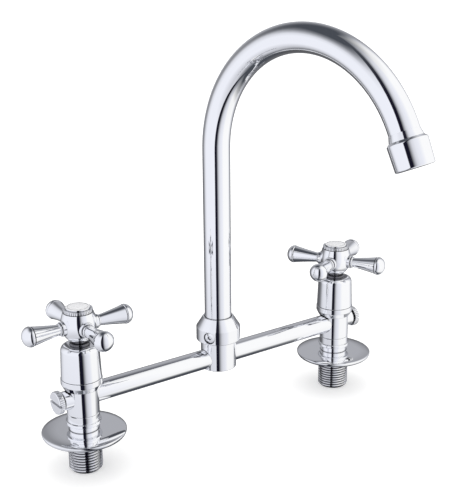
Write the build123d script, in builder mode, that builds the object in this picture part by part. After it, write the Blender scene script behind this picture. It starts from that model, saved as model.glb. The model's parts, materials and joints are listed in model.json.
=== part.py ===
from build123d import *

import os
from math import cos, radians, sin

# Deck-mounted bridge kitchen faucet: two quarter-turn valves, a bridge of two brazed tubes and a tee,
# and a swivelling gooseneck spout. Millimetres. The origin is on the deck, midway between the two inlet
# shanks. +X runs along the bridge to the right-hand valve, the spout reaches over -Y, and +Z is up.

os.makedirs("parts", exist_ok=True)

# ---------------------------------------------------------------- layout
INLET_SPACING = 203.2       # 8 in between the two shanks
PORT_HEIGHT = 25.0          # axis of the bridge tubes and side plugs above the deck
SPOUT_SWING = 9.0           # rest angle of the spout, from straight ahead towards +X, degrees
HANDLE_REST = {"left": -1.0, "right": 27.0}      # rest angle of one arm from +X, degrees

# ---------------------------------------------------------------- clearances and small edges
FIXED_GAP = 0.05            # radial, between a fixed piece and its hole
RUNNING_GAP = 0.08          # radial, between a turning piece and its bore
SEAL_GAP = 0.04             # radial, between a seal and the wall it wipes
FREE_GAP = 0.35             # radial, round a turning piece that is not guided there
END_GAP = 0.1               # axial, at the bottom of a socket or of a threaded hole
CAGE_GAP = 0.1              # radial, round the cartridge cage
HEX_GAP = 0.43              # radial, between the hexagon's corners and the bonnet
DISC_GAP = 0.05             # between the two ceramic discs
WASHER_GAP = 0.1            # axial play of the swivelling spout collar
EDGE = 0.4                  # broken edges of turned pieces
QUARTER_OVAL = 0.5523       # handle length of a cubic curve that draws a quarter of an ellipse

# ---------------------------------------------------------------- inlet shank, G1/2
SHANK_OD = 20.955
SHANK_LENGTH = 23.5         # below the deck
SHANK_CHAMFER = 1.4
SHANK_LAND = 1.5            # plain band between the deck and the first thread
THREAD_PITCH = 1.814
THREAD_DEPTH = 1.16
THREAD_CREST = 0.35         # flat left on top of each thread
THREAD_ROOT = 0.16          # flat at the bottom of the groove
INLET_BORE = 13.0
SHANK_SPIGOT_OD = 15.4      # screwed into the valve body's neck
SHANK_SPIGOT_LENGTH = 6.0

# ---------------------------------------------------------------- deck flange
FLANGE_OD = 52.2
FLANGE_HEIGHT = 3.6
FLANGE_WEB = 1.2            # top plate, resting on the shank's shoulder
FLANGE_RIM = 1.9            # height of the widest circle
FLANGE_ROLL = 9.0           # width of the rolled edge
FLANGE_TUCK = 0.9           # the edge draws in this far below its widest circle
FLANGE_HUB_WALL = 1.9       # ring round the shank, underneath
FLANGE_LIP = 1.3            # width of the ring that meets the deck
GASKET_HEIGHT = 1.3

# ---------------------------------------------------------------- valve body
NECK_OD = 18.3
NECK_HEIGHT = 4.0           # bare neck between flange and lip
LIP_OD = 21.8
LIP_HEIGHT = 2.2
LIP_SLOPE = 0.3             # rise of its upper and lower face
BODY_OD = 20.0
GROOVE_HEIGHT = 14.5        # fine ring groove above the deck
GROOVE_WIDTH = 0.8
GROOVE_DEPTH = 0.35
COLLAR_FOOT_OD = 21.8
COLLAR_STEP = 0.3           # the collar stands out this far round the bonnet
COLLAR_BAND = 3.4           # straight top of the collar
COLLAR_CONE = 3.4           # conical underside of the collar
BODY_TOP = 37.6
SEAT_WEB = 1.5              # web that carries the seat seal
SEAT_HEIGHT = 15.4          # top of that web
SEAT_BORE = 9.2
CHAMBER_BORE = 14.9
CARTRIDGE_THREAD_OD = 16.66     # G3/8
CARTRIDGE_THREAD_LENGTH = 6.4

# ---------------------------------------------------------------- bridge
BRIDGE_OD = 12.7
BRIDGE_WALL = 1.0
COPE_GAP = 0.3              # radial, between the coped end of a tube and the cartridge
TEE_OD = 23.2
TEE_BELOW_PORT = 7.1        # tee bottom under the port axis
TEE_TOP = 44.5
TEE_SOCKET = 2.6            # depth of the tube sockets in the tee's side
TEE_ROUND = 0.5
TEE_FLOOR = 2.0
TEE_SHELF = 0.6             # between the tube sockets and the spout's tail
TEE_PASSAGE = 12.0

# ---------------------------------------------------------------- side plug
PLUG_BOSS_OD = 11.4
PLUG_BOSS_REACH = 14.0      # valve axis to the boss face
PLUG_THREAD_OD = 8.0
PLUG_THREAD_LENGTH = 5.8    # inside the boss
PLUG_SEAL_OD = 10.6
PLUG_SEAL_HEIGHT = 1.0
PLUG_HEAD_OD = 14.2
PLUG_HEAD_HEIGHT = 3.6
PLUG_SLOT_WIDTH = 1.6
PLUG_SLOT_DEPTH = 1.4
PLUG_NOTCHES = 36
PLUG_NOTCH_RADIUS = 0.35

# ---------------------------------------------------------------- bonnet and headwork
BONNET_TAPER = 0.8          # radial, from foot to top
BONNET_HEIGHT = 21.2
BONNET_WALL = 1.0
BONNET_CEILING = 1.8
BONNET_ROUND = 3.2
HEX_ACROSS = 19.0
HEX_HEIGHT = 5.6
BARREL_OD = 14.0
BARREL_NECK_OD = 12.2
BARREL_STANDS = 1.6         # headwork above the bonnet
CAGE_WALL = 0.8
CAGE_ROOF = 1.0
WINDOW_WIDTH = 8.0
WINDOW_HEIGHT = 5.6

# ---------------------------------------------------------------- cartridge
SEAL_HEIGHT = 2.1
SEAL_BORE = 9.6
DISC_HEIGHT = 2.8
DISC_SLOT_RADIUS = 3.3
DISC_SLOT_WIDTH = 2.8
DISC_SLOT_ARC = 28.0        # degrees, without its round ends
SPINDLE_OD = 9.0
SPINDLE_SPLINE_OD = 7.9
SPINDLE_TEETH = 20
SPINDLE_TOOTH_RADIUS = 0.3
SPINDLE_DOG_OD = 10.4
KEY_WIDTH = 3.0
KEY_HEIGHT = 1.0
SPINDLE_RING_SECTION = 1.2
SPINDLE_RING_HEIGHT = 4.6   # above the hexagon
SPINDLE_RING_GROOVE = 1.6

# ---------------------------------------------------------------- handle
HUB_GAP = 3.7               # bonnet top to hub
HUB_FOOT_OD = 13.6
HUB_OD = 21.4
HUB_TOP_OD = 18.4
HUB_HEIGHT = 17.2
HUB_WAIST = 9.4             # widest circle above the hub's foot
ARM_HEIGHT = 8.5            # arm axes above the hub's foot
HUB_BOSS_OD = 9.2
HUB_BOSS_REACH = 11.9
HUB_WEB = 1.7               # under the handle screw
HUB_RECESS_OD = 15.2
HUB_RECESS_DEPTH = 2.8
ARMS = 4
ARM_REACH = 36.2
ARM_STUD_OD = 5.0
ARM_STUD_LENGTH = 6.2
ARM_BEAD_OD = 7.7
ARM_BEAD_LENGTH = 1.5
ARM_BEAD_BULGE = 0.5
ARM_NECK_OD = 6.6
ARM_FAT_OD = 11.7
ARM_TAPER_SAG = 0.15        # hollow of the taper
ARM_CREASE = 0.5
ARM_TIP_FLARE = 0.35        # the domed end stands out this far past the taper
ARM_TIP_LENGTH = 6.3        # from the crease to the end
ARM_TIP_SHOULDER = 1.3      # from the crease to the widest circle
SCREW_OD = 4.0
SCREW_LENGTH = 9.0
SCREW_HEAD_OD = 7.2
SCREW_HEAD_HEIGHT = 1.6
SCREW_CROSS_LENGTH = 4.0
SCREW_CROSS_WIDTH = 0.9
SCREW_CROSS_DEPTH = 1.0
CAP_RIM_OD = 17.8
CAP_RIM_HEIGHT = 2.2
CAP_FACE_OD = 14.8
CAP_FACE_HEIGHT = 1.0
CAP_DOME = 0.5
CAP_LINE_OD = 12.6          # concentric line in the face
CAP_LINE = 0.25
CAP_NOTCHES = 48
CAP_NOTCH_RADIUS = 0.3
CAP_SKIRT = 1.6             # cap's plug inside the hub
CAP_SKIRT_WALL = 1.4
CAP_ROOF = 1.6

# ---------------------------------------------------------------- spout nut and swivel
NUT_WALL = 2.75
NUT_BOTTOM = 36.9
NUT_LIP = 0.95              # flat left at the bottom by the chamfer
NUT_FOOT = 0.8              # height of that chamfer
NUT_SHOULDER = 46.2         # where the cone starts
NUT_TOP = 53.2
NUT_MOUTH_WALL = 0.95
NUT_SCREW_ANGLE = 210.0     # direction of the lock screw from +X, degrees
NUT_SCREW_HEIGHT = 42.1
NUT_SCREW_OD = 7.8
NUT_SCREW_SINK = 0.9
NUT_SCREW_DOME = 0.5
NUT_SCREW_HEX = 2.5
NUT_SCREW_HEX_DEPTH = 0.9
WASHER_HEIGHT = 0.8
TAIL_WALL = 1.1             # under the ring grooves
TAIL_RING_SECTION = 1.8
TAIL_RING_GROOVE = 2.2
TAIL_RING_DEPTHS = {"upper": 4.0, "lower": 9.0}     # below the tee's top
SPOUT_COLLAR_HEIGHT = 2.6
SPIGOT_LENGTH = 10.0

# ---------------------------------------------------------------- spout
SPOUT_OD = 17.4
SPOUT_WALL = 1.0
SPOUT_ARC_START = 164.0     # height where the riser ends
SPOUT_ARC_RADIUS = 73.5
SPOUT_BEND = 156.0          # degrees
BUSH_CONE = 4.0             # flared length above the aerator
BUSH_SPIGOT = 4.0
BUSH_SPIGOT_GAP = 0.2       # radial, lets the straight spigot into the curved tube
BUSH_THREAD = 6.4
BUSH_WALL = 1.0
AERATOR_LENGTH = 15.9
AERATOR_SHOULDER = 1.4
AERATOR_BORE = 18.3
AERATOR_SEAM_WALL = 0.55
AERATOR_SHOULDER_WALL = 2.15
AERATOR_MOUTH_WALL = 1.75
AERATOR_LEDGE = 1.6
AERATOR_LEDGE_WIDTH = 1.15
AERATOR_GASKET_HEIGHT = 1.4
INSERT_WALL = 1.8
INSERT_PLATE = 1.4
INSERT_HOLE = 1.4
INSERT_HOLE_PITCH = 2.1
INSERT_RINGS = 3

# ---------------------------------------------------------------- places that follow from the sizes
SIDE_X = {"left": -INLET_SPACING / 2, "right": INLET_SPACING / 2}
OUTWARD = {"left": (-1, 0, 0), "right": (1, 0, 0)}      # away from the tee
INWARD = {"left": (1, 0, 0), "right": (-1, 0, 0)}
UP = (0, 0, 1)

shank_top = FLANGE_HEIGHT - FLANGE_WEB
flange_hub = SHANK_OD / 2 + FIXED_GAP + FLANGE_HUB_WALL
flange_recess = FLANGE_OD / 2 - FLANGE_TUCK - FLANGE_LIP
lip_bottom = FLANGE_HEIGHT + NECK_HEIGHT
lip_top = lip_bottom + LIP_HEIGHT
chamber_top = BODY_TOP - CARTRIDGE_THREAD_LENGTH
tee_bottom = PORT_HEIGHT - TEE_BELOW_PORT
bridge_bore = BRIDGE_OD - 2 * BRIDGE_WALL
socket_bore = BRIDGE_OD + 2 * FIXED_GAP
tee_socket_floor = TEE_OD / 2 - TEE_SOCKET
bridge_cope = CARTRIDGE_THREAD_OD / 2 + COPE_GAP

bonnet_top = BODY_TOP + BONNET_HEIGHT
bonnet_ceiling = bonnet_top - BONNET_CEILING
barrel_top = bonnet_top + BARREL_STANDS
hex_corner = HEX_ACROSS / 2 / cos(radians(30))
bonnet_foot = hex_corner + HEX_GAP + BONNET_WALL
collar = bonnet_foot + COLLAR_STEP
hex_top = BODY_TOP + HEX_HEIGHT
cage_od = CHAMBER_BORE - 2 * CAGE_GAP
cage_bore = cage_od - 2 * CAGE_WALL
cage_ceiling = chamber_top - CAGE_ROOF
seal_top = SEAT_HEIGHT + SEAL_HEIGHT
fixed_disc_top = seal_top + DISC_HEIGHT
moving_disc_bottom = fixed_disc_top + DISC_GAP
moving_disc_top = moving_disc_bottom + DISC_HEIGHT
spindle_bore = SPINDLE_OD + 2 * RUNNING_GAP

hub_foot = bonnet_top + HUB_GAP
hub_top = hub_foot + HUB_HEIGHT
arm_axis = hub_foot + ARM_HEIGHT
recess_floor = hub_top - HUB_RECESS_DEPTH
spindle_top = recess_floor - HUB_WEB

tail_bore = SPOUT_OD
tail_bottom = PORT_HEIGHT + socket_bore / 2 + TEE_SHELF
collar_bottom = TEE_TOP + WASHER_HEIGHT + WASHER_GAP
collar_top = collar_bottom + SPOUT_COLLAR_HEIGHT
top_washer_bottom = collar_top + WASHER_GAP
nut_ceiling = top_washer_bottom + WASHER_HEIGHT
nut_bore = TEE_OD + 2 * FIXED_GAP
nut_outside = nut_bore / 2 + NUT_WALL

spout_out = (sin(radians(SPOUT_SWING)), -cos(radians(SPOUT_SWING)), 0)
bend = radians(SPOUT_BEND)
end_reach = SPOUT_ARC_RADIUS * (1 - cos(bend))
end_point = Vector(
    end_reach * spout_out[0],
    end_reach * spout_out[1],
    SPOUT_ARC_START + SPOUT_ARC_RADIUS * sin(bend),
)
end_direction = Vector(sin(bend) * spout_out[0], sin(bend) * spout_out[1], cos(bend))
seam_point = end_point + end_direction * BUSH_CONE
bush_thread_od = AERATOR_BORE - 2 * FIXED_GAP
seam = AERATOR_BORE / 2 + AERATOR_SEAM_WALL
insert_od = AERATOR_BORE - 2 * FIXED_GAP
insert_bore = insert_od - 2 * INSERT_WALL
gasket_start = BUSH_THREAD
insert_start = gasket_start + AERATOR_GASKET_HEIGHT
ledge_start = AERATOR_LENGTH - AERATOR_LEDGE


# ---------------------------------------------------------------- helpers
def along(origin, direction):
    """Plane through an axis: local x is the radius, local y the distance along the direction."""
    axial = Vector(*direction).normalized()
    radial = Vector(1, 0, 0) if abs(axial.Z) > 0.999 else Vector(*UP).cross(axial).normalized()
    return Plane(origin=origin, x_dir=radial, z_dir=radial.cross(axial))


def across(origin, direction, distance=0):
    """Plane square to an axis, at a distance along it, with its normal in the direction."""
    axial = Vector(*direction).normalized()
    radial = Vector(1, 0, 0) if abs(axial.Z) > 0.999 else Vector(*UP).cross(axial).normalized()
    return Plane(origin=Vector(*origin) + axial * distance, x_dir=radial, z_dir=axial)


def turn(outline, plane, mode=Mode.ADD):
    """Revolve a closed outline about the plane's axis. A point is (radius, height[, corner radius])."""
    corners = [point[:2] for point in outline]
    rounds = [point[2] if len(point) > 2 else 0 for point in outline]
    with BuildSketch(plane) as section:
        with BuildLine():
            if any(rounds):
                FilletPolyline(*corners, radius=rounds, close=True)
            else:
                Polyline(*corners, close=True)
        make_face()
    revolve(section.sketch, axis=Axis(plane.origin, plane.y_dir), mode=mode)


def ring(outer, inner, low, high, plane):
    """Add a plain ring between two heights; outer and inner are diameters."""
    turn([(inner / 2, low), (outer / 2, low), (outer / 2, high), (inner / 2, high)], plane)


def bore(diameter, low, high, plane):
    """Cut a round hole between two heights."""
    turn([(0, low), (diameter / 2, low), (diameter / 2, high), (0, high)], plane, Mode.SUBTRACT)


def notches(count, radius, pitch_od, plane, depth):
    """Cut a ring of round notches from the plane along its normal."""
    with BuildSketch(plane) as pattern:
        with PolarLocations(pitch_od / 2, count):
            Circle(radius)
    extrude(pattern.sketch, amount=depth, mode=Mode.SUBTRACT)


def torus(section_diameter, outer, height, plane):
    """Add a round rubber ring."""
    with BuildSketch(plane) as section:
        with Locations(((outer - section_diameter) / 2, height)):
            Circle(section_diameter / 2)
    revolve(section.sketch, axis=Axis(plane.origin, plane.y_dir))


def save(builder, node):
    """Label a finished piece and write it as its own node."""
    builder.part.label = node
    export_step(builder.part, f"parts/{node}.step")


def upright(side):
    """Half-section plane of a valve, with heights above the deck."""
    return along((SIDE_X[side], 0, 0), UP)


# ---------------------------------------------------------------- inlet shank
def cut_thread(x):
    """Cut the helical groove of the shank's thread, from below its end up to the plain band."""
    bottom = -SHANK_LENGTH - THREAD_PITCH
    height = SHANK_LENGTH + THREAD_PITCH / 2 - SHANK_LAND
    mouth = THREAD_PITCH - THREAD_CREST
    beyond = 0.3            # the groove's cutter stands this far out of the shank
    half = mouth / 2 + beyond * (mouth - THREAD_ROOT) / (2 * THREAD_DEPTH)
    with BuildLine() as course:
        Helix(pitch=THREAD_PITCH, height=height, radius=SHANK_OD / 2, center=(x, 0, bottom))
    with BuildSketch(Plane(origin=course.line @ 0, x_dir=(1, 0, 0), z_dir=(0, -1, 0))) as cutter:
        with BuildLine():
            Polyline(
                (beyond, -half),
                (beyond, half),
                (-THREAD_DEPTH, THREAD_ROOT / 2),
                (-THREAD_DEPTH, -THREAD_ROOT / 2),
                close=True,
            )
        make_face()
    sweep(cutter.sketch, path=course.line, is_frenet=True, mode=Mode.SUBTRACT)


def make_shank(side):
    x = SIDE_X[side]
    shank = SHANK_OD / 2
    spigot = SHANK_SPIGOT_OD / 2
    spigot_top = shank_top + SHANK_SPIGOT_LENGTH
    with BuildPart() as inlet:
        turn(
            [
                (INLET_BORE / 2, -SHANK_LENGTH),
                (shank - SHANK_CHAMFER, -SHANK_LENGTH),
                (shank, -SHANK_LENGTH + SHANK_CHAMFER),
                (shank, shank_top),
                (spigot, shank_top),
                (spigot, spigot_top, EDGE),
                (INLET_BORE / 2, spigot_top),
            ],
            upright(side),
        )
        cut_thread(x)
    return inlet


# ---------------------------------------------------------------- valve body
def make_valve_body(side):
    x = SIDE_X[side]
    stem = upright(side)
    inward = along((x, 0, PORT_HEIGHT), INWARD[side])
    outward = along((x, 0, PORT_HEIGHT), OUTWARD[side])
    body = BODY_OD / 2
    collar_cone_bottom = BODY_TOP - COLLAR_BAND - COLLAR_CONE
    with BuildPart() as valve_body:
        turn(
            [
                (0, shank_top),
                (NECK_OD / 2, shank_top),
                (NECK_OD / 2, lip_bottom - LIP_SLOPE, EDGE),
                (LIP_OD / 2, lip_bottom, EDGE),
                (LIP_OD / 2, lip_top - LIP_SLOPE, EDGE),
                (body, lip_top, EDGE / 2),
                (body, GROOVE_HEIGHT - GROOVE_WIDTH / 2),
                (body - GROOVE_DEPTH, GROOVE_HEIGHT),
                (body, GROOVE_HEIGHT + GROOVE_WIDTH / 2),
                (body, collar_cone_bottom),
                (COLLAR_FOOT_OD / 2, collar_cone_bottom, EDGE / 2),
                (collar, BODY_TOP - COLLAR_BAND, 2 * EDGE),
                (collar, BODY_TOP, EDGE),
                (0, BODY_TOP),
            ],
            stem,
        )
        # plain boss for the side plug
        turn(
            [
                (0, 0),
                (PLUG_BOSS_OD / 2, 0),
                (PLUG_BOSS_OD / 2, PLUG_BOSS_REACH, EDGE),
                (0, PLUG_BOSS_REACH),
            ],
            outward,
        )
        # socket for the shank, the seats and waterways, and the hole that the bridge tube is brazed into
        bore(SHANK_SPIGOT_OD + 2 * FIXED_GAP, shank_top, SEAT_HEIGHT - SEAT_WEB, stem)
        bore(SEAT_BORE, shank_top, SEAT_HEIGHT, stem)
        bore(CHAMBER_BORE, SEAT_HEIGHT, BODY_TOP, stem)
        bore(CARTRIDGE_THREAD_OD, chamber_top - END_GAP, BODY_TOP, stem)
        bore(socket_bore, 0, collar, inward)
        bore(PLUG_THREAD_OD, 0, PLUG_BOSS_REACH, outward)
    return valve_body


# ---------------------------------------------------------------- flange on the deck
def make_flange(side):
    rim = FLANGE_OD / 2
    neck_hole = NECK_OD / 2 + FIXED_GAP
    shank_hole = SHANK_OD / 2 + FIXED_GAP
    with BuildPart() as flange:
        with BuildSketch(upright(side)) as section:
            with BuildLine():
                EllipticalCenterArc(
                    (rim - FLANGE_ROLL, FLANGE_RIM),
                    x_radius=FLANGE_ROLL,
                    y_radius=FLANGE_HEIGHT - FLANGE_RIM,
                    start_angle=0,
                    arc_size=90,
                )
                Polyline(
                    (rim - FLANGE_ROLL, FLANGE_HEIGHT),
                    (neck_hole, FLANGE_HEIGHT),
                    (neck_hole, shank_top),
                    (shank_hole, shank_top),
                    (shank_hole, 0),
                    (flange_hub, 0),
                    (flange_hub, GASKET_HEIGHT),
                    (flange_recess, GASKET_HEIGHT),
                    (flange_recess, 0),
                    (rim - FLANGE_TUCK, 0),
                )
                TangentArc((rim, FLANGE_RIM), (rim - FLANGE_TUCK, 0), tangent=(0, -1))
            make_face()
        revolve(section.sketch, axis=Axis(section.workplanes[0].origin, Vector(*UP)))
    return flange


def make_flange_gasket(side):
    outer = 2 * (flange_recess - FIXED_GAP)
    with BuildPart() as gasket:
        ring(outer, 2 * (flange_hub + FIXED_GAP), 0, GASKET_HEIGHT, upright(side))
    return gasket


# ---------------------------------------------------------------- side plug and its seal
def make_side_plug(side):
    origin = (SIDE_X[side], 0, PORT_HEIGHT)
    outward = along(origin, OUTWARD[side])
    thread = PLUG_THREAD_OD / 2 - FIXED_GAP
    thread_end = PLUG_BOSS_REACH - PLUG_THREAD_LENGTH
    head = PLUG_BOSS_REACH + PLUG_SEAL_HEIGHT
    face = head + PLUG_HEAD_HEIGHT
    with BuildPart() as plug:
        turn(
            [
                (0, thread_end),
                (thread - EDGE, thread_end),
                (thread, thread_end + EDGE),
                (thread, head),
                (PLUG_HEAD_OD / 2, head, EDGE),
                (PLUG_HEAD_OD / 2, face, 2 * EDGE),
                (0, face),
            ],
            outward,
        )
        notches(
            PLUG_NOTCHES,
            PLUG_NOTCH_RADIUS,
            PLUG_HEAD_OD,
            across(origin, OUTWARD[side], head),
            PLUG_HEAD_HEIGHT,
        )
        with BuildSketch(across(origin, OUTWARD[side], face)) as slot:
            Rectangle(PLUG_HEAD_OD, PLUG_SLOT_WIDTH)
        extrude(slot.sketch, amount=-PLUG_SLOT_DEPTH, mode=Mode.SUBTRACT)
    return plug


def make_plug_seal(side):
    outward = along((SIDE_X[side], 0, PORT_HEIGHT), OUTWARD[side])
    reach = PLUG_BOSS_REACH
    with BuildPart() as seal:
        ring(PLUG_SEAL_OD, PLUG_THREAD_OD, reach, reach + PLUG_SEAL_HEIGHT, outward)
    return seal


# ---------------------------------------------------------------- bonnet and headwork
def make_bonnet(side):
    foot = bonnet_foot
    top = bonnet_foot - BONNET_TAPER
    hole = BARREL_NECK_OD / 2 + FIXED_GAP
    with BuildPart() as bonnet:
        turn(
            [
                (foot - BONNET_WALL, BODY_TOP),
                (foot, BODY_TOP, EDGE),
                (top, bonnet_top, BONNET_ROUND),
                (hole, bonnet_top),
                (hole, bonnet_ceiling),
                (top - BONNET_WALL, bonnet_ceiling, BONNET_ROUND - BONNET_WALL),
            ],
            upright(side),
        )
    return bonnet


def make_headwork(side):
    x = SIDE_X[side]
    stem = upright(side)
    thread = CARTRIDGE_THREAD_OD / 2 - FIXED_GAP
    neck = BARREL_NECK_OD / 2
    window_middle = moving_disc_top + END_GAP + WINDOW_HEIGHT / 2
    with BuildPart() as headwork:
        turn(
            [
                (cage_bore / 2, SEAT_HEIGHT + END_GAP),
                (cage_od / 2, SEAT_HEIGHT + END_GAP),
                (cage_od / 2, chamber_top),
                (thread - EDGE, chamber_top),
                (thread, chamber_top + EDGE),
                (thread, BODY_TOP),
                (BARREL_OD / 2, BODY_TOP),
                (BARREL_OD / 2, bonnet_ceiling),
                (neck, bonnet_ceiling),
                (neck, barrel_top, EDGE),
                (spindle_bore / 2, barrel_top),
                (spindle_bore / 2, cage_ceiling),
                (cage_bore / 2, cage_ceiling),
            ],
            stem,
        )
        with BuildSketch(across((x, 0, 0), UP, BODY_TOP)) as hexagon:
            RegularPolygon(HEX_ACROSS / 2, 6, major_radius=False)
            Circle(BARREL_OD / 2 - EDGE, mode=Mode.SUBTRACT)
        extrude(hexagon.sketch, amount=HEX_HEIGHT)
        # two windows let the water out to the bridge port
        with BuildSketch(Plane(origin=(x, 0, window_middle), x_dir=(0, 1, 0), z_dir=(1, 0, 0))) as window:
            Rectangle(WINDOW_WIDTH, WINDOW_HEIGHT)
        extrude(window.sketch, amount=cage_od, both=True, mode=Mode.SUBTRACT)
    return headwork


# ---------------------------------------------------------------- cartridge inside the headwork
with BuildLine() as slot_middle:
    CenterArc((0, 0), DISC_SLOT_RADIUS, -DISC_SLOT_ARC / 2, DISC_SLOT_ARC)


def cut_disc_slots(x, height, start_angle):
    """Two kidney slots through a disc."""
    with BuildSketch(across((x, 0, 0), UP, height)) as slots:
        with PolarLocations(0, 2, start_angle=start_angle):
            SlotArc(slot_middle.edge(), DISC_SLOT_WIDTH)
    extrude(slots.sketch, amount=DISC_HEIGHT, mode=Mode.SUBTRACT)


def make_seat_seal(side):
    with BuildPart() as seal:
        ring(cage_bore - 2 * FIXED_GAP, SEAL_BORE, SEAT_HEIGHT, seal_top, upright(side))
    return seal


def make_fixed_disc(side):
    with BuildPart() as disc:
        ring(cage_bore - 2 * FIXED_GAP, 0, seal_top, fixed_disc_top, upright(side))
        cut_disc_slots(SIDE_X[side], seal_top, HANDLE_REST[side] + 90)
    return disc


def make_moving_disc(side):
    x = SIDE_X[side]
    with BuildPart() as disc:
        ring(cage_bore - 2 * RUNNING_GAP, 0, moving_disc_bottom, moving_disc_top, upright(side))
        cut_disc_slots(x, moving_disc_bottom, HANDLE_REST[side])
        with BuildSketch(across((x, 0, 0), UP, moving_disc_top)) as keyway:
            with Locations(Location((0, 0, 0), (0, 0, HANDLE_REST[side] + 90))):
                Rectangle(cage_od, KEY_WIDTH + 2 * FIXED_GAP)
        extrude(keyway.sketch, amount=-KEY_HEIGHT - END_GAP, mode=Mode.SUBTRACT)
    return disc


def make_spindle(side):
    x = SIDE_X[side]
    shaft = SPINDLE_OD / 2
    spline = SPINDLE_SPLINE_OD / 2
    dog = SPINDLE_DOG_OD / 2
    dog_bottom = moving_disc_top + END_GAP
    dog_top = cage_ceiling - END_GAP
    spline_foot = hub_foot - END_GAP
    groove = hex_top + SPINDLE_RING_HEIGHT
    groove_radius = spindle_bore / 2 - SEAL_GAP - SPINDLE_RING_SECTION - FIXED_GAP
    with BuildPart() as spindle:
        turn(
            [
                (0, dog_bottom),
                (dog, dog_bottom, EDGE),
                (dog, dog_top, EDGE),
                (shaft, dog_top),
                (shaft, groove - SPINDLE_RING_GROOVE / 2),
                (groove_radius, groove - SPINDLE_RING_GROOVE / 2),
                (groove_radius, groove + SPINDLE_RING_GROOVE / 2),
                (shaft, groove + SPINDLE_RING_GROOVE / 2),
                (shaft, spline_foot - EDGE),
                (spline, spline_foot),
                (spline, spindle_top, EDGE),
                (0, spindle_top),
            ],
            upright(side),
        )
        notches(
            SPINDLE_TEETH,
            SPINDLE_TOOTH_RADIUS,
            SPINDLE_SPLINE_OD,
            across((x, 0, 0), UP, spline_foot),
            spindle_top - spline_foot,
        )
        bore(SCREW_OD + 2 * FIXED_GAP, recess_floor - SCREW_LENGTH - END_GAP, spindle_top, upright(side))
        with BuildSketch(across((x, 0, 0), UP, dog_bottom)) as key:
            with Locations(Location((0, 0, 0), (0, 0, HANDLE_REST[side] + 90))):
                Rectangle(SPINDLE_DOG_OD, KEY_WIDTH)
            Circle(dog - EDGE, mode=Mode.INTERSECT)
        extrude(key.sketch, amount=-KEY_HEIGHT - END_GAP / 2)
    return spindle


def make_spindle_ring(side):
    height = hex_top + SPINDLE_RING_HEIGHT
    with BuildPart() as rubber:
        torus(SPINDLE_RING_SECTION, spindle_bore - 2 * SEAL_GAP, height, upright(side))
    return rubber


# ---------------------------------------------------------------- cross handle
def arm_direction(side, index):
    angle = radians(HANDLE_REST[side] + index * 360 / ARMS)
    return (cos(angle), sin(angle), 0)


def make_hub(side):
    stem = upright(side)
    centre = (SIDE_X[side], 0, arm_axis)
    widest = (HUB_OD / 2, hub_foot + HUB_WAIST)
    foot = (HUB_FOOT_OD / 2, hub_foot)
    top = (HUB_TOP_OD / 2, hub_top)
    stud_hole = HUB_BOSS_REACH - ARM_STUD_LENGTH - END_GAP
    with BuildPart() as hub:
        with BuildSketch(stem) as section:
            with BuildLine():
                TangentArc(widest, foot, tangent=(0, -1))
                TangentArc(widest, top, tangent=(0, 1))
                Polyline(top, (0, hub_top), (0, hub_foot), foot)
            make_face()
        revolve(section.sketch, axis=Axis(stem.origin, stem.y_dir))
        for index in range(ARMS):
            turn(
                [
                    (0, 0),
                    (HUB_BOSS_OD / 2, 0),
                    (HUB_BOSS_OD / 2, HUB_BOSS_REACH, EDGE),
                    (0, HUB_BOSS_REACH),
                ],
                along(centre, arm_direction(side, index)),
            )
        for index in range(ARMS):
            arm = along(centre, arm_direction(side, index))
            bore(ARM_STUD_OD + 2 * FIXED_GAP, stud_hole, HUB_BOSS_REACH, arm)
        bore(SPINDLE_SPLINE_OD + 2 * FIXED_GAP, hub_foot, spindle_top, stem)
        bore(SCREW_OD + 2 * FREE_GAP, spindle_top, recess_floor, stem)
        bore(HUB_RECESS_OD, recess_floor, hub_top, stem)
    return hub


def make_arm(side, index):
    plane = along((SIDE_X[side], 0, arm_axis), arm_direction(side, index))
    stud = ARM_STUD_OD / 2
    stud_end = HUB_BOSS_REACH - ARM_STUD_LENGTH
    bead = ARM_BEAD_OD / 2
    bead_end = HUB_BOSS_REACH + ARM_BEAD_LENGTH
    neck = ARM_NECK_OD / 2
    fat = ARM_FAT_OD / 2
    crease = ARM_REACH - ARM_TIP_LENGTH
    tip = fat + ARM_TIP_FLARE
    widest = crease + ARM_TIP_SHOULDER
    with BuildPart() as arm:
        with BuildSketch(plane) as section:
            with BuildLine():
                Polyline(
                    (0, stud_end),
                    (stud - EDGE, stud_end),
                    (stud, stud_end + EDGE),
                    (stud, HUB_BOSS_REACH),
                    (bead - ARM_BEAD_BULGE, HUB_BOSS_REACH),
                )
                ThreePointArc(
                    (bead - ARM_BEAD_BULGE, HUB_BOSS_REACH),
                    (bead, HUB_BOSS_REACH + ARM_BEAD_LENGTH / 2),
                    (bead - ARM_BEAD_BULGE, bead_end),
                )
                Line((bead - ARM_BEAD_BULGE, bead_end), (neck, bead_end))
                ThreePointArc(
                    (neck, bead_end),
                    ((neck + fat) / 2 - ARM_TAPER_SAG, (bead_end + crease) / 2),
                    (fat, crease),
                )
                Line((fat, crease), (fat - ARM_CREASE, crease + ARM_CREASE / 2))
                TangentArc((tip, widest), (fat - ARM_CREASE, crease + ARM_CREASE / 2), tangent=(0, -1))
                Bezier(
                    (tip, widest),
                    (tip, widest + QUARTER_OVAL * (ARM_REACH - widest)),
                    (QUARTER_OVAL * tip, ARM_REACH),
                    (0, ARM_REACH),
                )
                Line((0, ARM_REACH), (0, stud_end))
            make_face()
        revolve(section.sketch, axis=Axis(plane.origin, plane.y_dir))
    return arm


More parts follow.
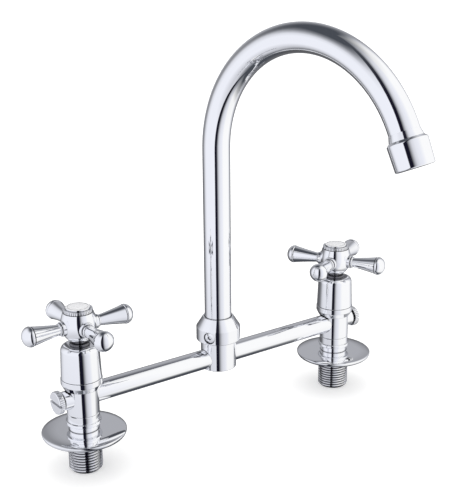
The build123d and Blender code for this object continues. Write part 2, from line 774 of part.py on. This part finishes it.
def make_handle_screw(side):
    shaft = SCREW_OD / 2
    head = SCREW_HEAD_OD / 2
    tip = recess_floor - SCREW_LENGTH
    top = recess_floor + SCREW_HEAD_HEIGHT
    with BuildPart() as screw:
        turn(
            [
                (0, tip),
                (shaft - EDGE, tip),
                (shaft, tip + EDGE),
                (shaft, recess_floor),
                (head, recess_floor),
                (head, top, 2 * EDGE),
                (0, top),
            ],
            upright(side),
        )
        with BuildSketch(across((SIDE_X[side], 0, 0), UP, top)) as cross:
            Rectangle(SCREW_CROSS_LENGTH, SCREW_CROSS_WIDTH)
            Rectangle(SCREW_CROSS_WIDTH, SCREW_CROSS_LENGTH)
        extrude(cross.sketch, amount=-SCREW_CROSS_DEPTH, mode=Mode.SUBTRACT)
    return screw


def make_index_cap(side):
    plug = HUB_RECESS_OD / 2 - FIXED_GAP
    rim = CAP_RIM_OD / 2
    rim_top = hub_top + CAP_RIM_HEIGHT
    face = CAP_FACE_OD / 2
    face_top = rim_top + CAP_FACE_HEIGHT
    line = CAP_LINE_OD / 2
    skirt_end = hub_top - CAP_SKIRT
    with BuildPart() as cap:
        turn(
            [
                (0, face_top + CAP_DOME - CAP_ROOF),
                (plug - CAP_SKIRT_WALL, face_top + CAP_DOME - CAP_ROOF),
                (plug - CAP_SKIRT_WALL, skirt_end),
                (plug, skirt_end),
                (plug, hub_top),
                (rim, hub_top, EDGE),
                (rim, rim_top, EDGE),
                (face, rim_top),
                (face, face_top, EDGE),
                (0, face_top),
            ],
            upright(side),
        )
        # shallow domed field inside a concentric line
        with BuildSketch(upright(side)) as field:
            with BuildLine():
                Line((line - CAP_LINE, face_top), (0, face_top))
                Line((0, face_top), (0, face_top + CAP_DOME))
                TangentArc((0, face_top + CAP_DOME), (line - CAP_LINE, face_top), tangent=(1, 0))
            make_face()
        revolve(field.sketch, axis=Axis(upright(side).origin, Vector(*UP)))
        turn(
            [
                (line - CAP_LINE, face_top),
                (line - CAP_LINE, face_top - CAP_LINE),
                (line, face_top - CAP_LINE),
                (line, face_top),
            ],
            upright(side),
            Mode.SUBTRACT,
        )
        notches(
            CAP_NOTCHES,
            CAP_NOTCH_RADIUS,
            CAP_RIM_OD,
            across((SIDE_X[side], 0, 0), UP, hub_top),
            CAP_RIM_HEIGHT,
        )
    return cap


# ---------------------------------------------------------------- bridge
def make_bridge_tube(side):
    start = tee_socket_floor + END_GAP
    with BuildPart() as tube:
        ring(BRIDGE_OD, bridge_bore, start, INLET_SPACING / 2, along((0, 0, PORT_HEIGHT), OUTWARD[side]))
        # the valve end is coped, so that it follows the body's round wall
        bore(2 * bridge_cope, PORT_HEIGHT - BRIDGE_OD, PORT_HEIGHT + BRIDGE_OD, upright(side))
    return tube


def make_tee():
    axis = along((0, 0, 0), UP)
    body = TEE_OD / 2
    with BuildPart() as tee:
        turn(
            [(0, tee_bottom), (body, tee_bottom, TEE_ROUND), (body, TEE_TOP, EDGE), (0, TEE_TOP)],
            axis,
        )
        for side in OUTWARD:
            port = along((0, 0, PORT_HEIGHT), OUTWARD[side])
            bore(socket_bore, tee_socket_floor, TEE_OD / 2, port)
            bore(bridge_bore, 0, TEE_OD / 2, port)
        bore(TEE_PASSAGE, tee_bottom + TEE_FLOOR, TEE_TOP, axis)
        bore(tail_bore, tail_bottom - END_GAP, TEE_TOP, axis)
    return tee


def nut_screw_direction():
    angle = radians(NUT_SCREW_ANGLE)
    return (cos(angle), sin(angle), 0)


def make_nut():
    axis = along((0, 0, 0), UP)
    mouth = SPOUT_OD / 2 + FREE_GAP
    with BuildPart() as nut:
        turn(
            [
                (nut_bore / 2, NUT_BOTTOM),
                (nut_bore / 2 + NUT_LIP, NUT_BOTTOM),
                (nut_outside, NUT_BOTTOM + NUT_FOOT, EDGE),
                (nut_outside, NUT_SHOULDER, EDGE),
                (mouth + NUT_MOUTH_WALL, NUT_TOP, EDGE / 2),
                (mouth, NUT_TOP),
                (mouth, nut_ceiling),
                (nut_bore / 2, nut_ceiling),
            ],
            axis,
        )
        screw_axis = along((0, 0, NUT_SCREW_HEIGHT), nut_screw_direction())
        bore(NUT_SCREW_OD + 2 * FIXED_GAP, 0, nut_outside, screw_axis)
    return nut


def make_nut_screw():
    origin = (0, 0, NUT_SCREW_HEIGHT)
    start = nut_bore / 2
    end = nut_outside - NUT_SCREW_SINK
    screw = NUT_SCREW_OD / 2
    plane = along(origin, nut_screw_direction())
    with BuildPart() as lock_screw:
        with BuildSketch(plane) as section:
            with BuildLine():
                Polyline((0, end), (0, start), (screw, start), (screw, end - NUT_SCREW_DOME))
                TangentArc((0, end), (screw, end - NUT_SCREW_DOME), tangent=(1, 0))
            make_face()
        revolve(section.sketch, axis=Axis(plane.origin, plane.y_dir))
        with BuildSketch(across(origin, nut_screw_direction(), end)) as socket:
            RegularPolygon(NUT_SCREW_HEX / 2, 6, major_radius=False)
        extrude(socket.sketch, amount=-NUT_SCREW_HEX_DEPTH, mode=Mode.SUBTRACT)
    return lock_screw


def make_washer(bottom):
    with BuildPart() as washer:
        ring(
            nut_bore - 2 * FIXED_GAP,
            SPOUT_OD + 2 * FREE_GAP,
            bottom,
            bottom + WASHER_HEIGHT,
            along((0, 0, 0), UP),
        )
    return washer


# ---------------------------------------------------------------- swivelling spout
def make_ferrule():
    tail = tail_bore / 2 - RUNNING_GAP
    spigot = SPOUT_OD / 2 - SPOUT_WALL - FIXED_GAP
    groove = tail_bore / 2 - SEAL_GAP - TAIL_RING_SECTION - FIXED_GAP
    passage = groove - TAIL_WALL
    collar_edge = nut_bore / 2 - FREE_GAP
    outline = [(passage, tail_bottom), (tail, tail_bottom, EDGE)]
    for depth in sorted(TAIL_RING_DEPTHS.values(), reverse=True):
        low = TEE_TOP - depth - TAIL_RING_GROOVE / 2
        high = low + TAIL_RING_GROOVE
        outline += [(tail, low), (groove, low), (groove, high), (tail, high)]
    outline += [
        (tail, collar_bottom),
        (collar_edge, collar_bottom),
        (collar_edge, collar_top),
        (spigot, collar_top),
        (spigot, collar_top + SPIGOT_LENGTH, EDGE),
        (passage, collar_top + SPIGOT_LENGTH),
    ]
    with BuildPart() as ferrule:
        turn(outline, along((0, 0, 0), UP))
    return ferrule


def make_tail_ring(place):
    height = TEE_TOP - TAIL_RING_DEPTHS[place]
    with BuildPart() as rubber:
        torus(TAIL_RING_SECTION, tail_bore - 2 * SEAL_GAP, height, along((0, 0, 0), UP))
    return rubber


def make_spout_tube():
    foot = (0, collar_top)
    shoulder = (0, SPOUT_ARC_START)
    swing_plane = Plane(origin=(0, 0, 0), x_dir=spout_out, z_dir=Vector(*spout_out).cross(Vector(*UP)))
    with BuildPart() as tube:
        with BuildLine(swing_plane) as course:
            Line(foot, shoulder)
            JernArc(shoulder, (0, 1), SPOUT_ARC_RADIUS, -SPOUT_BEND)
        with BuildSketch(across((0, 0, 0), UP, collar_top)) as section:
            Circle(SPOUT_OD / 2)
            Circle(SPOUT_OD / 2 - SPOUT_WALL, mode=Mode.SUBTRACT)
        sweep(section.sketch, path=course.line)
    return tube


def make_spout_end():
    axis = along(end_point, end_direction)
    thread_end = BUSH_CONE + BUSH_THREAD
    spigot = SPOUT_OD / 2 - SPOUT_WALL - BUSH_SPIGOT_GAP
    passage = spigot - BUSH_WALL
    with BuildPart() as bush:
        turn(
            [
                (passage, -BUSH_SPIGOT),
                (spigot, -BUSH_SPIGOT, EDGE),
                (spigot, 0),
                (SPOUT_OD / 2, 0),
                (seam, BUSH_CONE),
                (bush_thread_od / 2, BUSH_CONE),
                (bush_thread_od / 2, thread_end, EDGE),
                (passage, thread_end),
            ],
            axis,
        )
    return bush


def make_aerator_housing():
    inside = AERATOR_BORE / 2
    outlet = inside - AERATOR_LEDGE_WIDTH
    with BuildPart() as housing:
        turn(
            [
                (inside, 0),
                (seam, 0, EDGE / 2),
                (inside + AERATOR_SHOULDER_WALL, AERATOR_SHOULDER, 2 * EDGE),
                (inside + AERATOR_MOUTH_WALL, AERATOR_LENGTH, 2 * EDGE),
                (outlet, AERATOR_LENGTH),
                (outlet, ledge_start),
                (inside, ledge_start),
            ],
            along(seam_point, end_direction),
        )
    return housing


def make_aerator_gasket():
    with BuildPart() as gasket:
        ring(
            insert_od,
            insert_bore,
            gasket_start,
            insert_start,
            along(seam_point, end_direction),
        )
    return gasket


def make_aerator_insert():
    plate_top = ledge_start - INSERT_PLATE
    with BuildPart() as insert:
        ring(insert_od, insert_bore, insert_start, ledge_start, along(seam_point, end_direction))
        ring(insert_od, 0, plate_top, ledge_start, along(seam_point, end_direction))
        with BuildSketch(across(seam_point, end_direction, plate_top)) as holes:
            Circle(INSERT_HOLE / 2)
            for row in range(1, INSERT_RINGS + 1):
                with PolarLocations(row * INSERT_HOLE_PITCH, 6 * row):
                    Circle(INSERT_HOLE / 2)
        extrude(holes.sketch, amount=INSERT_PLATE, mode=Mode.SUBTRACT)
    return insert


# ---------------------------------------------------------------- the set of pieces
for side in SIDE_X:
    save(make_shank(side), f"{side}_shank")
    save(make_valve_body(side), f"{side}_valve_body")
    save(make_flange(side), f"{side}_flange")
    save(make_flange_gasket(side), f"{side}_flange_gasket")
    save(make_side_plug(side), f"{side}_side_plug")
    save(make_plug_seal(side), f"{side}_plug_seal")
    save(make_bonnet(side), f"{side}_bonnet")
    save(make_headwork(side), f"{side}_headwork")
    save(make_seat_seal(side), f"{side}_seat_seal")
    save(make_fixed_disc(side), f"{side}_fixed_disc")
    save(make_moving_disc(side), f"{side}_moving_disc")
    save(make_spindle(side), f"{side}_spindle")
    save(make_spindle_ring(side), f"{side}_spindle_oring")
    save(make_hub(side), f"{side}_handle_hub")
    for index in range(ARMS):
        save(make_arm(side, index), f"{side}_handle_arm_{index + 1}")
    save(make_handle_screw(side), f"{side}_handle_screw")
    save(make_index_cap(side), f"{side}_index_cap")
    save(make_bridge_tube(side), f"{side}_bridge_tube")

save(make_tee(), "bridge_tee")
save(make_nut(), "spout_nut")
save(make_nut_screw(), "nut_screw")
save(make_washer(TEE_TOP), "swivel_washer")
save(make_washer(top_washer_bottom), "top_washer")
save(make_ferrule(), "spout_ferrule")
for place in TAIL_RING_DEPTHS:
    save(make_tail_ring(place), f"spout_oring_{place}")
save(make_spout_tube(), "spout_tube")
save(make_spout_end(), "spout_end")
save(make_aerator_housing(), "aerator_housing")
save(make_aerator_gasket(), "aerator_gasket")
save(make_aerator_insert(), "aerator_insert")
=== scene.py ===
import json
from math import cos, pi, radians, sin

import bmesh
import bpy
from mathutils import Matrix, Vector

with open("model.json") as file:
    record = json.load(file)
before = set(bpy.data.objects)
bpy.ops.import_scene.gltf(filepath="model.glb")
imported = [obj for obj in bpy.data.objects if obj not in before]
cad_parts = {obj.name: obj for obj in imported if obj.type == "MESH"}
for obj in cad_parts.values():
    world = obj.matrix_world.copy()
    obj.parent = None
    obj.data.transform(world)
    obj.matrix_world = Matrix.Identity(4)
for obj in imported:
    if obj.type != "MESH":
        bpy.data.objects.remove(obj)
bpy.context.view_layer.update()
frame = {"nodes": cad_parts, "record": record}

# ---------------------------------------------------------------- camera, from the photograph's perspective
CAMERA_AZIMUTH = -35.8          # degrees, 0 looks along +Y
CAMERA_ELEVATION = 17.71        # degrees above the horizon
CAMERA_ROLL = -0.49             # degrees
CAMERA_DISTANCE = 0.67078       # from the target, metres
CAMERA_TARGET = (0.00725, 0.0, 0.0976)
CAMERA_LENS = 75.34             # mm
CAMERA_SENSOR = 36.0            # mm, along the picture's long side

# ---------------------------------------------------------------- studio
PALE = (0.915, 0.93, 1.0)       # light tent, with its faint lavender cast
WHITE = (1.0, 1.0, 1.0)
SLATE = (0.066, 0.073, 0.088)   # unlit ceiling and floor of the tent
INK = (0.008, 0.008, 0.018)     # dark slot that the camera looks through
BACKDROP = 0.45                 # brightness of the tent's far side, above the table
TENT_RADIUS = 0.42              # metres
TENT_CENTRE = (0.0, 0.0, 0.13)
TENT_SUBDIVISIONS = 5
DECK_TO_FLOOR = 0.0236          # the shanks stand on the floor, metres
FLOOR_REACH = 6.0               # half the floor's width, metres
FLOOR_GREY = 0.9
FLOOR_GLOW = 0.35               # added for the camera alone, so that the lit floor is white

# ---------------------------------------------------------------- finishes
BUFFING_SCALE = 90.0            # noise scales, per metre
HAZE_SCALE = 420.0
GRAIN_SCALE = 900.0
BUFFING_DEPTH = 0.00003         # metres
GRAIN_DEPTH = 0.00002
CREVICE_SHADE_REACH = 0.0015                # reach of the painted shade beside a joint, metres
THREAD_SHADE_REACH = 0.00075        # the same inside a thread
CREVICE_SAMPLES = 8
SHANK_AXIS = 0.1016             # distance of each valve's axis from the middle
THREAD_ROOT_RADIUS = 0.0094
THREAD_CREST_RADIUS = 0.0104
CAP_FACE_RADIUS = 0.0074        # enamelled face of an index cap
CAP_FACE_TILT = 0.8             # least upward part of a normal that belongs to that face

# pieces that show another finish than their material slot's, by the end of their name; the nickel for
# headwork and spindle is painted dark as shade
OTHER_FINISH = {"shank": "threads", "headwork": "shade_dark_nickel", "spindle": "shade_dark_nickel", "screw": "chrome"}


# ---------------------------------------------------------------- node helpers
class Nodes:
    """A node tree with short calls: add a node, set its inputs, and link what is already a socket."""

    def __init__(self, owner):
        owner.use_nodes = True
        self.tree = owner.node_tree
        self.tree.nodes.clear()

    def add(self, kind, inputs=None, **settings):
        node = self.tree.nodes.new(kind)
        for name, value in settings.items():
            setattr(node, name, value)
        for key, value in (inputs or {}).items():
            self.put(node.inputs[key], value)
        return node

    def put(self, socket, value):
        if isinstance(value, bpy.types.NodeSocket):
            self.tree.links.new(value, socket)
        elif isinstance(value, bpy.types.Node):
            self.tree.links.new(value.outputs[0], socket)
        else:
            socket.default_value = value

    def math(self, operation, *values):
        return self.add("ShaderNodeMath", dict(enumerate(values)), operation=operation).outputs[0]

    def mix(self, factor, first, second, blend="MIX"):
        """Colour mix of two colours or sockets."""
        node = self.add("ShaderNodeMix", data_type="RGBA", blend_type=blend)
        inputs = [socket for socket in node.inputs if socket.enabled]
        for socket, value in zip(inputs, (factor, first, second)):
            self.put(socket, value + (1,) if isinstance(value, tuple) else value)
        return next(socket for socket in node.outputs if socket.enabled)

    def ramp(self, factor, stops):
        """Linear ramp through stops of (position, colour or grey), in rising order."""
        node = self.add("ShaderNodeValToRGB", {"Fac": factor})
        elements = node.color_ramp.elements
        while len(elements) < len(stops):
            elements.new(0.5)
        for element, (position, colour) in zip(elements, stops):
            grey = isinstance(colour, (int, float))
            element.position = position
            element.color = (colour, colour, colour, 1) if grey else (*colour, 1)
        return node.outputs["Color"]


def new_material(name):
    material = bpy.data.materials.new(name)
    return material, Nodes(material)


def new_object(name, data):
    """An object in the scene, with its data."""
    made = bpy.data.objects.new(name, data)
    bpy.context.scene.collection.objects.link(made)
    return made


# ---------------------------------------------------------------- camera
def add_camera():
    azimuth = radians(CAMERA_AZIMUTH)
    elevation = radians(CAMERA_ELEVATION)
    roll = radians(CAMERA_ROLL)
    back = Vector((sin(azimuth) * cos(elevation), -cos(azimuth) * cos(elevation), sin(elevation)))
    right = (-back).cross(Vector((0, 0, 1))).normalized()
    up = right.cross(-back)
    across = right * cos(roll) + up * sin(roll)
    upward = up * cos(roll) - right * sin(roll)
    place = Matrix((across, upward, back)).transposed().to_4x4()
    place.translation = Vector(CAMERA_TARGET) + back * CAMERA_DISTANCE
    data = bpy.data.cameras.new("camera")
    data.lens = CAMERA_LENS
    data.sensor_width = CAMERA_SENSOR
    data.clip_start = 0.01
    data.clip_end = 50.0
    camera = new_object("camera", data)
    camera.matrix_world = place
    bpy.context.scene.camera = camera


# ---------------------------------------------------------------- light and floor
def tint(value):
    return tuple(value * channel for channel in PALE)


def at(degrees):
    """Where an azimuth lies on the ramps that go round the tent: 0 faces the camera, 90 is on its right."""
    return 0.5 + degrees / 360


def height(degrees):
    """Where a height above the horizon lies on the ramps that go from the floor to the ceiling."""
    return 0.5 + degrees / 180


def tent_walls(n, turn, lift):
    """The lit walls: the dark slot is sharp on its left and fades on its right."""
    walls = n.ramp(
        turn,
        [
            (at(-180), tint(0.14)),
            (at(-142), tint(0.15)),
            (at(-124), tint(0.34)),
            (at(-106), tint(0.80)),
            (at(-88), tint(0.96)),
            (at(-13.5), tint(0.97)),
            (at(-12.5), INK),
            (at(3), INK),
            (at(7), tint(0.18)),
            (at(12.5), tint(0.46)),
            (at(20), tint(0.74)),
            (at(31), tint(0.88)),
            (at(44), tint(0.94)),
            (at(60), WHITE),
            (at(112), WHITE),
            (at(128), tint(0.70)),
            (at(142), tint(0.28)),
            (at(160), tint(0.15)),
            (at(180), tint(0.14)),
        ],
    )
    # the backdrop is lit above the table
    behind = n.ramp(n.math("ABSOLUTE", n.math("SUBTRACT", turn, 0.5)), [(0.35, 0.0), (0.44, 1.0)])
    rising = n.ramp(lift, [(height(-12), 0.0), (height(2), 1.0)])
    walls = n.mix(n.math("MULTIPLY", behind, rising), walls, tint(BACKDROP))

    # the walls are less bright near the table, most of all the left one
    low = n.ramp(turn, [(at(-40), 0.72), (at(20), 0.82), (at(60), 0.95)])
    falling = n.ramp(lift, [(height(-46), 1.0), (height(-20), 0.0)])
    return n.mix(falling, walls, n.mix(1.0, walls, low, blend="MULTIPLY"))


def tent_light(n, turn, lift):
    """How far the walls are lit, from 0 on the ceiling and under the faucet to 1."""
    # the light reaches low on the left wall and high on the right one
    top = n.ramp(
        turn,
        [
            (at(-180), height(50)),
            (at(-150), height(43)),
            (at(-110), height(47)),
            (at(-35), height(47)),
            (at(-8), height(52)),
            (at(8), height(64)),
            (at(30), height(71)),
            (at(95), height(73)),
            (at(125), height(65)),
            (at(150), height(52)),
            (at(180), height(50)),
        ],
    )
    above = n.math("ADD", n.math("SUBTRACT", lift, top), 0.5)
    fading = n.ramp(
        above,
        [(height(-22), 1.0), (height(-9), 0.84), (height(0), 0.5), (height(9), 0.2), (height(20), 0.0)],
    )
    # the floor is dark underneath the faucet and at its far edge
    bottom = n.ramp(
        turn,
        [
            (at(-170), height(-55)),
            (at(-110), height(-69)),
            (at(60), height(-68)),
            (at(85), height(-60)),
            (at(112), height(-46)),
            (at(180), height(-50)),
        ],
    )
    below = n.math("ADD", n.math("SUBTRACT", lift, bottom), 0.5)
    clearing = n.ramp(below, [(height(-14), 0.0), (height(0), 0.4), (height(12), 1.0)])
    return n.math("MULTIPLY", fading, clearing)


def add_tent():
    """A photographer's light tent, which only polished surfaces see."""
    material, n = new_material("light_tent")
    material.cycles.emission_sampling = "NONE"
    place = n.add("ShaderNodeTexCoord").outputs["Object"]
    outward = n.add("ShaderNodeVectorMath", {0: place}, operation="NORMALIZE")
    turned = n.add(
        "ShaderNodeVectorRotate",
        {"Vector": outward, "Angle": radians(90 - CAMERA_AZIMUTH)},
        rotation_type="Z_AXIS",
    )
    split = n.add("ShaderNodeSeparateXYZ", {0: turned})
    azimuth = n.math("ARCTAN2", split.outputs["Y"], split.outputs["X"])
    turn = n.math("MULTIPLY_ADD", azimuth, 0.5 / pi, 0.5)
    lift = n.math("MULTIPLY_ADD", n.math("ARCSINE", split.outputs["Z"]), 1 / pi, 0.5)
    colour = n.mix(tent_light(n, turn, lift), SLATE, tent_walls(n, turn, lift))
    glow = n.add("ShaderNodeEmission", {"Color": colour, "Strength": 1.0})
    n.add("ShaderNodeOutputMaterial", {"Surface": glow})

    mesh = bpy.data.meshes.new("light_tent")
    shell = bmesh.new()
    bmesh.ops.create_icosphere(shell, subdivisions=TENT_SUBDIVISIONS, radius=TENT_RADIUS)
    shell.to_mesh(mesh)
    shell.free()
    mesh.materials.append(material)
    tent = new_object("light_tent", mesh)
    tent.location = TENT_CENTRE
    tent.visible_camera = False
    tent.visible_diffuse = False
    tent.visible_shadow = False
    tent.visible_transmission = False


def add_world():
    """White for camera, glossy and transmission rays, and an even pale light for the rest."""
    world = bpy.data.worlds.new("studio")
    bpy.context.scene.world = world
    n = Nodes(world)
    direction = n.add("ShaderNodeTexCoord").outputs["Generated"]
    rise = n.add("ShaderNodeSeparateXYZ", {0: direction}).outputs["Z"]
    even = n.ramp(n.math("MULTIPLY_ADD", rise, 0.5, 0.5), [(0.0, 0.75), (0.5, 0.85), (0.93, 1.1)])
    path = n.add("ShaderNodeLightPath")
    seen = n.math("MAXIMUM", path.outputs["Is Camera Ray"], path.outputs["Is Glossy Ray"])
    seen = n.math("MAXIMUM", seen, path.outputs["Is Transmission Ray"])
    background = n.add("ShaderNodeBackground", {"Color": n.mix(seen, even, WHITE), "Strength": 1.0})
    n.add("ShaderNodeOutputWorld", {"Surface": background})


def add_floor():
    """Pale floor that keeps the faucet's soft shadow and is white to the camera elsewhere."""
    material, n = new_material("floor")
    matt = n.add("ShaderNodeBsdfDiffuse", {"Color": (FLOOR_GREY, FLOOR_GREY, FLOOR_GREY, 1)})
    path = n.add("ShaderNodeLightPath")
    strength = n.math("MULTIPLY", path.outputs["Is Camera Ray"], FLOOR_GLOW)
    glow = n.add("ShaderNodeEmission", {"Color": (1, 1, 1, 1), "Strength": strength})
    both = n.add("ShaderNodeAddShader", {0: matt, 1: glow})
    n.add("ShaderNodeOutputMaterial", {"Surface": both})

    mesh = bpy.data.meshes.new("floor")
    corners = [(x * FLOOR_REACH, y * FLOOR_REACH, 0) for x, y in ((-1, -1), (1, -1), (1, 1), (-1, 1))]
    mesh.from_pydata(corners, [], [(0, 1, 2, 3)])
    mesh.materials.append(material)
    floor = new_object("floor", mesh)
    floor.location.z = -DECK_TO_FLOOR
    floor.visible_glossy = False


# ---------------------------------------------------------------- materials
def chrome(name, roughness=0.035, colour=(0.955, 0.96, 0.975), painted_shade=(0.04, 0.04, 0.05), threads=False):
    """Polished chromium plate: faint buffing waves, small changes of polish and painted shade that darkens
    its crevices.
    """
    material, n = new_material(name)
    place = n.add("ShaderNodeTexCoord").outputs["Object"]
    waves = n.add("ShaderNodeTexNoise", {"Vector": place, "Scale": BUFFING_SCALE, "Detail": 2.0})
    haze = n.add("ShaderNodeTexNoise", {"Vector": place, "Scale": HAZE_SCALE, "Detail": 3.0})
    bump = n.add(
        "ShaderNodeBump",
        {"Height": waves.outputs["Fac"], "Distance": BUFFING_DEPTH, "Strength": 1.0},
    )
    polish = n.add(
        "ShaderNodeMapRange",
        {
            "Value": haze.outputs["Fac"],
            "From Min": 0.3,
            "From Max": 0.7,
            "To Min": roughness * 0.6,
            "To Max": roughness * 1.4,
        },
    )
    # painted shade: the colour darkens towards the shade colour where occlusion finds nearby surfaces, in
    # crevices and joints
    open_sky = n.add(
        "ShaderNodeAmbientOcclusion",
        {"Distance": THREAD_SHADE_REACH if threads else CREVICE_SHADE_REACH},
        samples=CREVICE_SAMPLES,
    )
    unshaded = n.ramp(open_sky.outputs["AO"], [(0.42, 0.0), (0.80, 1.0)])
    if threads:
        # painted shade: below the deck the thread's roots are darkened as well
        unshaded = n.math("MULTIPLY", unshaded, thread_height(n, place))
    shader = n.add(
        "ShaderNodeBsdfPrincipled",
        {"Base Color": n.mix(unshaded, painted_shade, colour), "Metallic": 1.0, "Roughness": polish, "Normal": bump},
    )
    n.add("ShaderNodeOutputMaterial", {"Surface": shader})
    return material


def thread_height(n, place):
    """0 at the bottom of a shank's thread and 1 on its crest, from the distance to the shank's axis; it
    masks the painted shade in the thread's roots.
    """
    axes = n.add("ShaderNodeSeparateXYZ", {0: place})
    sideways = n.math("SUBTRACT", n.math("ABSOLUTE", axes.outputs["X"]), SHANK_AXIS)
    squares = [n.math("POWER", length, 2.0) for length in (sideways, axes.outputs["Y"])]
    rise = n.add(
        "ShaderNodeMapRange",
        {
            "Value": n.math("SQRT", n.math("ADD", *squares)),
            "From Min": THREAD_ROOT_RADIUS,
            "From Max": THREAD_CREST_RADIUS,
            "To Min": 0.0,
            "To Max": 1.0,
        },
    )
    above_deck = n.math("SUBTRACT", 1.0, n.math("LESS_THAN", axes.outputs["Z"], 0.0))
    return n.math("MAXIMUM", rise.outputs[0], above_deck)


def plain(name, colour, roughness, metallic=0.0):
    """Matt or satin stuff with a fine grain in colour and surface."""
    material, n = new_material(name)
    place = n.add("ShaderNodeTexCoord").outputs["Object"]
    noise = n.add("ShaderNodeTexNoise", {"Vector": place, "Scale": GRAIN_SCALE, "Detail": 4.0})
    dull = tuple(0.85 * channel for channel in colour)
    bright = tuple(min(1, 1.1 * channel) for channel in colour)
    shade = n.ramp(noise.outputs["Fac"], [(0.3, dull), (0.7, bright)])
    bump = n.add(
        "ShaderNodeBump",
        {"Height": noise.outputs["Fac"], "Distance": GRAIN_DEPTH, "Strength": 1.0},
    )
    shader = n.add(
        "ShaderNodeBsdfPrincipled",
        {"Base Color": shade, "Metallic": metallic, "Roughness": roughness, "Normal": bump},
    )
    n.add("ShaderNodeOutputMaterial", {"Surface": shader})
    return material


def enamel_face(cap, finish):
    """Gives the flat top of an index cap a second finish, inside its knurled rim."""
    cap.data.materials.append(finish)
    for face in cap.data.polygons:
        from_axis = Vector((abs(face.center.x) - SHANK_AXIS, face.center.y)).length
        if face.normal.z > CAP_FACE_TILT and from_axis < CAP_FACE_RADIUS:
            face.material_index = 1


add_camera()
add_world()
add_tent()
add_floor()
bpy.context.scene.view_settings.view_transform = "Standard"

finishes = {
    "chrome": chrome("chrome_plate"),
    # painted shade: the threads' roots and crevices are darkened to this dull grey
    "threads": chrome("threaded_chrome", roughness=0.09, painted_shade=(0.14, 0.14, 0.155), threads=True),
    # painted shade: the nickel of the headwork and spindle gets a near-black colour for the shade under the
    # handle
    "shade_dark_nickel": chrome("nickel_plate_painted_dark", roughness=0.16, colour=(0.16, 0.16, 0.17)),
    "brass": plain("turned_brass", (0.62, 0.50, 0.28), 0.28, metallic=1.0),
    "steel": plain("stainless_steel", (0.55, 0.55, 0.57), 0.3, metallic=1.0),
    "rubber": plain("seal_rubber", (0.02, 0.02, 0.022), 0.6),
    "enamel": plain("white_enamel", (0.90, 0.90, 0.92), 0.22),
    "ceramic": plain("disc_ceramic", (0.86, 0.85, 0.82), 0.15),
    "plastic": plain("acetal", (0.75, 0.75, 0.73), 0.45),
}
slots = {part["node"]: part["material_slot"] for part in frame["record"]["subparts"]}
for node, piece in frame["nodes"].items():
    kind = node.split("_", 1)[-1]
    piece.data.materials.clear()
    piece.data.materials.append(finishes[OTHER_FINISH.get(kind, slots[node])])
    for face in piece.data.polygons:
        face.material_index = 0
    if kind == "index_cap":
        enamel_face(piece, finishes["enamel"])
